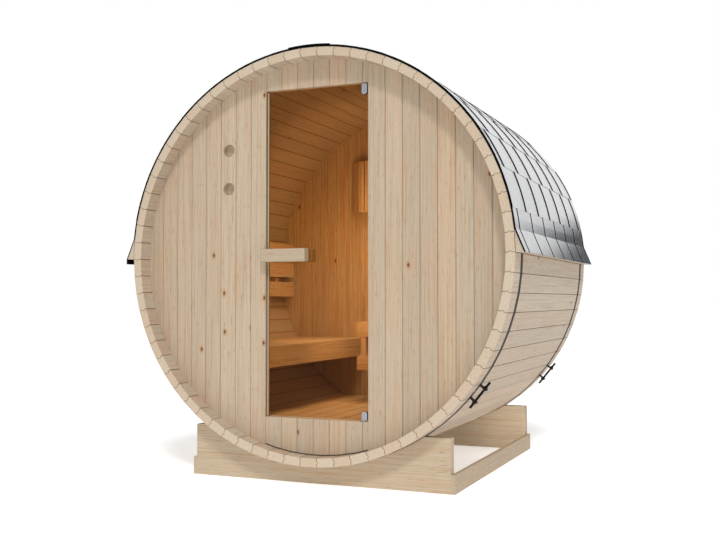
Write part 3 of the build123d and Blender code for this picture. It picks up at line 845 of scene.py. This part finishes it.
@dataclass
class Roof:
    """Shingle tabs over each slope, the felt that shows in their slots, and the ridge."""

    finish: RoofFinish = field(default_factory=RoofFinish)
    bed: float = 953.26 * MM
    eave_height: float = 98 * MM
    eave_reach: float = 989.6 * MM
    courses: int = 8
    tab_width: float = 250 * MM
    course_shift: float = 83 * MM
    slot_width: float = 11 * MM
    length: float = 1608 * MM
    felt: float = 2.0 * MM
    foot_lift: float = 4.2 * MM
    head_lift: float = 3.6 * MM
    edge_lift: float = 3.4 * MM
    eave_edge_lift: float = 1.6 * MM
    left_drip: float = 24 * MM
    cap_width: float = 201 * MM
    cap_slot: float = 1.5 * MM
    cap_seat: float = 7.6 * MM
    cap_lap: float = 1.8 * MM
    tab_steps: int = 4
    eave_steps: int = 2
    cap_steps: int = 6
    felt_steps: int = 28
    seed: int = 4
    group: Tree = field(init=False)
    skins: dict[str, Material] = field(init=False)

    @property
    def course_turn(self) -> float:
        """Angle that one course covers, in radians."""
        return math.pi / 2 / self.courses

    def build(self) -> None:
        """Lay both slopes and finish the ridge."""
        # Bitumen: dull black felt, and the black core where a shingle is cut.
        bitumen = plain_material("bitumen", self.finish.bitumen, self.finish.bitumen_roughness)
        self.skins = {"Granules": granule_material(self.finish), "Bitumen": bitumen}
        self.group = self._course_group()
        for edge in Edge:
            name = edge.name.lower()
            drip = self.left_drip if edge is Edge.LEFT else 0.0
            under = self._underlay(name, edge, drip)
            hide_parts(f"shingles_{name}")
            above = (self.courses - 1, self.course_turn)
            rows = (
                ("eave_tab", "eave_tabs", self.eave_edge_lift, self.eave_steps, drip, (1, 0.0)),
                ("tab", "shingle_tabs", self.edge_lift, self.tab_steps, None, above),
            )
            for shape, label, raised, steps, tip, span in rows:
                ends = (
                    self._section(
                        (self.felt, self.foot_lift + lift, self.head_lift + lift),
                        self.course_turn, steps, tip,
                    )
                    for lift in (raised, 0.0)
                )
                tab = self._tab(f"{shape}_{name}", *ends)
                sizes = (*span, self.tab_width, self.slot_width)
                self._lay(TabRun(f"{label}_{name}", tab, edge, *sizes))
        self._ridge()

    def _ridge(self) -> None:
        """Lay cap pieces along the ridge, each of which laps over the one before it."""
        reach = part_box("ridge_cap")[1]
        top = reach.z - AXIS_HEIGHT - self.bed
        half = math.asin(reach.x / (self.bed + top))
        ends = (
            self._section((self.cap_seat, lift, lift), 2 * half, self.cap_steps)
            for lift in (top, top - self.cap_lap)
        )
        tab = self._tab("ridge_tab", *ends)
        sizes = (1, math.pi / 2 - half, self.cap_width, self.cap_slot)
        caps = self._lay(TabRun("ridge_tabs", tab, Edge.RIGHT, *sizes))
        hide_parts("ridge_cap")

    def _section(
        self, lifts: tuple[float, float, float], high: float, steps: int, drip: float | None = None
    ) -> Outline:
        """Draw a section round the barrel's axis, closed at its underside.

        Args:
            lifts: Height above the bed of its underside, its foot and its head.
            high: Angle of its head, in radians.
            steps: Number of straight steps.
            drip: For the eave, which runs down the wedge: how far it hangs past the tip.

        Returns:
            The outline in X and Z from the axis, underside first.
        """
        under, foot, head = lifts
        low = 0.0 if drip is None else math.asin(self.eave_height / self.bed)
        lower, upper = [], []
        for step in range(steps + 1):
            share = step / steps
            turn = low + share * (high - low)
            for line, lift in ((lower, under), (upper, foot + share * (head - foot))):
                reach = self.bed + lift
                line.append((reach * math.cos(turn), reach * math.sin(turn)))
        heights = [] if drip is None else [-drip, 0.0] if drip else [0.0]
        tip, tip_top = ([(self.eave_reach + lift, z) for z in heights] for lift in (under, foot))
        return tip + lower + upper[::-1] + tip_top[::-1]

    def _tab(self, name: str, profile: Outline, far_profile: Outline) -> Object:
        """Make one tab, a metre long, that the node group repeats; it isn't shown itself.

        Its near edge stands a little proud of the tab before it, as on a roof that has settled.

        Args:
            name: Name of the tab.
            profile: Section at its near edge.
            far_profile: Section at its far edge.

        Returns:
            The tab, with its cut faces marked.
        """
        points, faces = swept_profile(profile, 0.5)
        points[len(profile):] = [(x, 0.5, z) for x, z in far_profile]
        tab = mesh_object(name, points, faces)
        count, half = len(profile), len(profile) // 2
        cut = tab.data.attributes.new("cut_edge", "BOOLEAN", "FACE")
        marks = [place < half - 1 or place >= count for place in range(len(faces))]
        cut.data.foreach_set("value", marks)
        return tab

    def _underlay(self, name: str, edge: Edge, drip: float) -> Object:
        """Make the black felt under the tabs of one slope.

        Args:
            name: Name of the slope.
            edge: Side of the barrel.
            drip: How far it hangs past the eave.

        Returns:
            The piece.
        """
        lifts = (0.0, self.felt, self.felt)
        profile = self._section(lifts, math.pi / 2, self.felt_steps, drip)
        points, faces = swept_profile(profile, self.length / 2)
        points = [(edge.value * x, edge.value * y, z + AXIS_HEIGHT) for x, y, z in points]
        piece = mesh_object(f"roof_felt_{name}", points, faces, self.skins["Bitumen"])
        return tie(piece, "barrel")

    def _course_group(self) -> Tree:
        """Make the node group that lays tabs in courses, each shifted against the last.

        Returns:
            The group.
        """
        sockets = {"Tab": "Object", "Granules": "Material", "Bitumen": "Material"}
        sockets |= dict.fromkeys(("Courses", "Tabs", "First Course", "Seed"), "Int")
        turns, sizes = ("First Turn", "Course Turn"), ("Tab Width", "Slot Width")
        sockets |= dict.fromkeys((*turns, *sizes, "Shift", "Half Length"), "Float")
        tree, given = new_group("shingle_courses", sockets)
        # Each row names a result, its operation and what goes in. A tab is cut at both gables.
        sums = (
            ("rows", "DIVIDE", "index", "Tabs"),
            ("row", "FLOOR", "rows"),
            ("place", "MODULO", "index", "Tabs"),
            ("course", "ADD", "row", "First Course"),
            ("shifted", "MULTIPLY", "course", "Shift"),
            ("slide", "MODULO", "shifted", "Tab Width"),
            ("end", "MULTIPLY_ADD", "place", "Tab Width", "slide"),
            ("begin", "SUBTRACT", "end", "Tab Width"),
            ("start", "SUBTRACT", "begin", "Half Length"),
            ("near gable", "MULTIPLY", "Half Length", -1.0),
            ("low", "MAXIMUM", "start", "near gable"),
            ("stop", "ADD", "start", "Tab Width"),
            ("high", "MINIMUM", "stop", "Half Length"),
            ("run", "SUBTRACT", "high", "low"),
            ("tab_length", "SUBTRACT", "run", "Slot Width"),
            ("both", "ADD", "low", "high"),
            ("middle", "MULTIPLY", "both", 0.5),
            ("tab_turn", "MULTIPLY_ADD", "row", "Course Turn", "First Turn"),
            ("total", "MULTIPLY", "Courses", "Tabs"),
        )
        known = {"index": add(tree, "GeometryNodeInputIndex"), **given}
        for result, operation, *terms in sums:
            inputs = {place: known.get(term, term) for place, term in enumerate(terms)}
            known[result] = add(tree, MATH, inputs, operation=operation)
        spot = add(tree, JOIN, {"Y": known["middle"], "Z": AXIS_HEIGHT})
        points = add(tree, "GeometryNodePoints", {"Count": known["total"], "Position": spot})
        real = {"data_type": "FLOAT"}
        for name in ("tab_length", "tab_turn"):
            inputs = {"Geometry": points, "Name": name, "Value": known[name]}
            points = add(tree, STORE, inputs, **real, domain="POINT")
        length, turn = (add(tree, STORED, {"Name": n}, **real) for n in ("tab_length", "tab_turn"))
        thin = {0: length, 1: given["Slot Width"]}
        thin = add(tree, "FunctionNodeCompare", thin, **real, operation="LESS_THAN")
        points = {"Geometry": points, "Selection": thin}
        points = add(tree, "GeometryNodeDeleteGeometry", points, domain="POINT")
        turned = add(tree, JOIN, {"Y": add(tree, MATH, {0: turn, 1: -1.0}, operation="MULTIPLY")})
        tabs = {
            "Points": points,
            "Instance": add(tree, "GeometryNodeObjectInfo", {"Object": given["Tab"]}, "Geometry"),
            "Rotation": add(tree, "FunctionNodeEulerToRotation", {0: turned}),
            "Scale": add(tree, JOIN, {"X": 1.0, "Y": length, "Z": 1.0}),
        }
        tabs = add(tree, "GeometryNodeInstanceOnPoints", tabs)
        tone = add(tree, "FunctionNodeRandomValue", {"Seed": given["Seed"]}, 1, **real)
        tabs = {"Geometry": tabs, "Name": "tab_tone", "Value": tone}
        tabs = add(tree, STORE, tabs, **real, domain="INSTANCE")
        solid = add(tree, "GeometryNodeRealizeInstances", {0: tabs})
        faced = add(tree, PAINT, {"Geometry": solid, "Material": given["Granules"]})
        cut = add(tree, STORED, {"Name": "cut_edge"}, data_type="BOOLEAN")
        faced = {"Geometry": faced, "Selection": cut, "Material": given["Bitumen"]}
        add(tree, "NodeGroupOutput", {0: add(tree, PAINT, faced)})
        return tree

    def _lay(self, run: TabRun) -> Object:
        """Lay one run of tabs as a piece with a plain mesh.

        Args:
            run: What is laid, and where.

        Returns:
            The piece.
        """
        values = {
            "Tab": run.tab,
            "Courses": run.courses,
            "Tabs": math.ceil(self.length / run.width) + 2,
            "First Turn": run.first_turn,
            "Course Turn": self.course_turn,
            "First Course": self.courses - round(run.first_turn / self.course_turn) - run.courses,
            "Tab Width": run.width,
            "Shift": self.course_shift,
            "Slot Width": run.slot,
            "Half Length": self.length / 2,
            "Seed": self.seed + run.edge.value,
            **self.skins,
        }
        piece = grow(run.name, self.group, values)
        if run.edge is Edge.LEFT:
            piece.data.transform(Matrix.Scale(-1.0, 4, (1.0, 0.0, 0.0)))
            piece.data.flip_normals()
        return tie(piece, "barrel")


@dataclass
class Bands:
    """Steel bands and their tension screws, with the thread on each rod."""

    band: MetalFinish = BAND_METAL
    screw: MetalFinish = SCREW_METAL
    rod_length: float = 145 * MM
    rod_turn: float = math.pi / 2 - 10 * STAVE_TURN
    thread_radius: float = 5.4 * MM
    thread_ridge: float = 0.8 * MM
    # Twice the pitch of a 12 mm rod, so that the thread shows in a picture of the whole barrel.
    thread_pitch: float = 3.5 * MM
    turn_steps: int = 14
    ridge_sides: int = 4

    def build(self) -> None:
        """Give bands and screws their metal, and cut the threads."""
        strap = metal_material("browned_steel_band", self.band)
        dark = metal_material("blackened_steel", self.screw)
        group = self._thread_group()
        length = self.rod_length - 2 * self.thread_ridge
        for end in ("front", "rear"):
            dress(f"band_{end}", strap)
            dress(f"tension_screw_{end}", dark)
            low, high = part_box(f"tension_screw_{end}")
            values = {
                "Turns": length / self.thread_pitch,
                "Length": length,
                "Radius": self.thread_radius,
                "Ridge": self.thread_ridge,
                "Place": (low + high) / 2,
                "Turn": self.rod_turn,
                "Steel": dark,
            }
            tie(grow(f"rod_thread_{end}", group, values), "barrel")

    def _thread_group(self) -> Tree:
        """Make the node group that winds a ridge along a rod and sets it where the rod is.

        Returns:
            The group.
        """
        sockets = dict.fromkeys(("Turns", "Length", "Radius", "Ridge", "Turn"), "Float")
        sockets |= {"Place": "Vector", "Steel": "Material"}
        tree, given = new_group("rod_thread", sockets)
        path = {
            "Resolution": self.turn_steps,
            "Rotations": given["Turns"],
            "Start Radius": given["Radius"],
            "End Radius": given["Radius"],
            "Height": given["Length"],
        }
        section = {"Resolution": self.ridge_sides, "Radius": given["Ridge"]}
        ridge = {
            "Curve": add(tree, "GeometryNodeCurveSpiral", path),
            "Profile Curve": add(tree, "GeometryNodeCurvePrimitiveCircle", section),
            "Fill Caps": True,
        }
        ridge = add(tree, "GeometryNodeCurveToMesh", ridge)
        below = add(tree, MATH, {0: given["Length"], 1: -0.5}, operation="MULTIPLY")
        below = add(tree, JOIN, {"Z": below})
        ridge = add(tree, "GeometryNodeTransform", {"Geometry": ridge, "Translation": below})
        turned = add(tree, JOIN, {"Y": given["Turn"]})
        turned = add(tree, "FunctionNodeEulerToRotation", {0: turned})
        ridge = {"Geometry": ridge, "Translation": given["Place"], "Rotation": turned}
        ridge = add(tree, "GeometryNodeTransform", ridge)
        solid = add(tree, "GeometryNodeRealizeInstances", {0: ridge})
        faced = add(tree, PAINT, {"Geometry": solid, "Material": given["Steel"]})
        add(tree, "NodeGroupOutput", {0: faced})
        return tree


@dataclass
class Door:
    """Glass leaf with its handles, hinges and edge strip."""

    glass: GlassFinish = field(default_factory=GlassFinish)
    wood: WoodFinish = HANDLE_WOOD
    metal: MetalFinish = HINGE_METAL
    strip_width: float = 3.5 * MM
    strip_lift: float = 0.3 * MM
    # Pale colour of the strip along the pane's edge: a painted highlight.
    edge: str = "#BDB59C"
    edge_roughness: float = 0.4

    def build(self) -> None:
        """Give the leaf its glass, wood and steel."""
        dress("door_glass", glass_material(self.glass))
        lay = BoardLay(GrainAxis.ACROSS, pitch=WHOLE_PIECE)
        wood = SpruceMaterial("pale_handle_wood", self.wood, lay).material
        for face in ("outside", "inside"):
            dress(f"handle_{face}", wood)
        self._edge_strip()
        steel = metal_material("brushed_steel", self.metal)
        for end in ("top", "bottom"):
            dress(f"hinge_{end}", steel)
            dress(f"pivot_plate_{end}", steel)

    def _edge_strip(self) -> None:
        """Lay a pale strip, a painted highlight, along the pane's edge on its handle side."""
        low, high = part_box("door_glass")
        x0, x1 = low.x, low.x + self.strip_width
        y0, y1 = low.y - self.strip_lift, high.y + self.strip_lift
        outline = [(x0, y0), (x1, y0), (x1, y1), (x0, y1)]
        points = [(x, y, z) for z in (low.z, high.z) for x, y in outline]
        faces = [(0, 1, 5, 4), (1, 2, 6, 5), (2, 3, 7, 6), (3, 0, 4, 7), (3, 2, 1, 0), (4, 5, 6, 7)]
        # Pale, matt strip: a painted highlight along the pane's edge.
        edge_highlight = plain_material("ground_glass_edge", self.edge, self.edge_roughness)
        tie(mesh_object("glass_edge", points, faces, edge_highlight), "door")


@dataclass(frozen=True)
class Lamp:
    """Soft square light, with its power in watts and the width of its beam in degrees."""

    name: str
    place: Point
    target: Point
    size: float
    power: float
    colour: str = "#FFFFFF"
    spread: float = 180.0


LAMPS = (
    Lamp("low_fill", (1.4, -4.3, 0.4), (-0.4, -0.7, 1.0), 1.6, 23.0),
    Lamp("rear_fill", (0.45, 0.1, 0.12), (0.62, 0.66, 0.18), 0.12, 0.25, spread=70.0),
    Lamp("cabin", (0.1, -0.1, 1.8), (-0.05, 0.2, 0.3), 0.6, 7.0, spread=120.0),
    Lamp("cabin_warm", (0.1, -0.3, 1.15), (-0.1, 0.68, 1.15), 0.5, 5.3, "#FFE0B4", 140.0),
)


@dataclass
class Studio:
    """Camera, pale floor, soft light, and the cards that the shine mirrors."""

    place: Vector = field(default_factory=lambda: Vector((1.92404, -4.74055, 0.84264)))
    pitch: float = 1.746
    yaw: float = 23.091
    focal_px: float = 968.954
    width_px: float = 716.0
    sensor: float = 36.0
    lamps: tuple[Lamp, ...] = LAMPS
    white: str = "#FFFFFF"
    ambient: float = 0.45
    sun_from: Point = (0.42, -0.85, 1.0)
    sun_power: float = 1.38
    sun_spread: float = 10.0
    floor_half: float = 60.0
    floor_colour: str = "#FAFAFA"
    floor_roughness: float = 0.9
    floor_glow: float = 0.45
    card_away: float = 2.0
    card_half: float = 3.0
    card_foot: float = 1.05
    card_fade: float = 1.36
    card_top: float = 1.56

    def build(self) -> None:
        """Set up the view and its light."""
        self._camera()
        self._floor()
        self._sky()
        self._cards()
        self._sun()
        for lamp in self.lamps:
            self._lamp(lamp)
        settings = bpy.context.scene.view_settings
        settings.view_transform = "Standard"

    def _camera(self) -> None:
        """Put the camera where the photo was taken from."""
        data = bpy.data.cameras.new("camera")
        data.sensor_fit = "HORIZONTAL"
        data.sensor_width = self.sensor
        data.lens = self.focal_px / self.width_px * self.sensor
        camera = bpy.data.objects.new("camera", data)
        camera.location = self.place
        turn = (math.radians(90 + self.pitch), 0.0, math.radians(self.yaw))
        camera.rotation_euler = Euler(turn)
        show(camera)
        bpy.context.scene.camera = camera

    def _floor(self) -> None:
        """Lay a wide pale floor at ground level."""
        half = self.floor_half
        corners = [(-half, -half, 0), (half, -half, 0), (half, half, 0), (-half, half, 0)]
        # Pale studio floor: even and matt, lit from within a little so that shadows stay faint.
        pale = ("pale_floor", self.floor_colour, self.floor_roughness, self.floor_glow)
        floor = mesh_object("floor", corners, [(0, 1, 2, 3)], plain_material(*pale))

    def _sky(self) -> None:
        """Set a white backdrop that lights the object with a dimmer even light."""
        world = bpy.data.worlds.new("studio")
        world.use_nodes = True
        tree = world.node_tree
        tree.nodes.clear()
        path = tree.nodes.new("ShaderNodeLightPath").outputs
        seen = path["Is Camera Ray"]
        for ray in ("Is Glossy Ray", "Is Transmission Ray"):
            seen = add(tree, MATH, {0: seen, 1: path[ray]}, operation="MAXIMUM")
        even, white = (
            add(tree, "ShaderNodeBackground", {"Color": linear(self.white), "Strength": strength})
            for strength in (self.ambient, 1.0)
        )
        both = add(tree, "ShaderNodeMixShader", {0: seen, 1: even, 2: white})
        add(tree, "ShaderNodeOutputWorld", {"Surface": both})
        bpy.context.scene.world = world

    def _cards(self) -> None:
        """Stand cards before and behind the object, which only its shine mirrors."""
        # Graded studio card: black below, fading to white at its top.
        material, tree = new_material("graded_card")
        height = add(tree, SPLIT, {0: add(tree, HERE, out="Object")}, "Z")
        fade = add(tree, RANGE, {"Value": height, 1: self.card_fade, 2: self.card_top})
        surface = {"Color": linear(self.white), "Strength": fade}
        add(tree, OUTPUT, {"Surface": add(tree, "ShaderNodeEmission", surface)})
        half, foot, top = self.card_half, self.card_foot, self.card_top
        outline = ((-half, foot), (half, foot), (half, top), (-half, top))
        for name, depth in (("front_card", -self.card_away), ("rear_card", self.card_away)):
            corners = [(x, depth, z) for x, z in outline]
            card = mesh_object(name, corners, [(0, 1, 2, 3)], material)
            for ray in ("camera", "diffuse", "shadow", "transmission"):
                setattr(card, f"visible_{ray}", False)

    def _sun(self) -> None:
        """Hang the key light, high at the front right, over object and floor alike."""
        data = bpy.data.lights.new("key", "SUN")
        data.energy = self.sun_power
        data.angle = math.radians(self.sun_spread)
        lamp = bpy.data.objects.new("key", data)
        lamp.rotation_euler = (-Vector(self.sun_from)).to_track_quat("-Z", "Y").to_euler()
        show(lamp)

    def _lamp(self, lamp: Lamp) -> None:
        """Hang a soft light that is itself unseen.

        Args:
            lamp: Its place, size and power.
        """
        data = bpy.data.lights.new(lamp.name, "AREA")
        data.color = linear(lamp.colour)[:3]
        data.spread = math.radians(lamp.spread)
        data.size = lamp.size
        data.energy = lamp.power
        light = bpy.data.objects.new(lamp.name, data)
        light.location = lamp.place
        for ray in ("camera", "glossy", "transmission"):
            setattr(light, f"visible_{ray}", False)
        aim = Vector(lamp.target) - Vector(lamp.place)
        light.rotation_euler = aim.to_track_quat("-Z", "Y").to_euler()
        show(light)


def main() -> None:
    """Dress every sub-assembly, then set up the studio."""
    for assembly in (Barrel(), EndWalls(), Stand(), Interior(), Roof(), Bands(), Door(), Studio()):
        assembly.build()


if __name__ == "__main__":
    main()
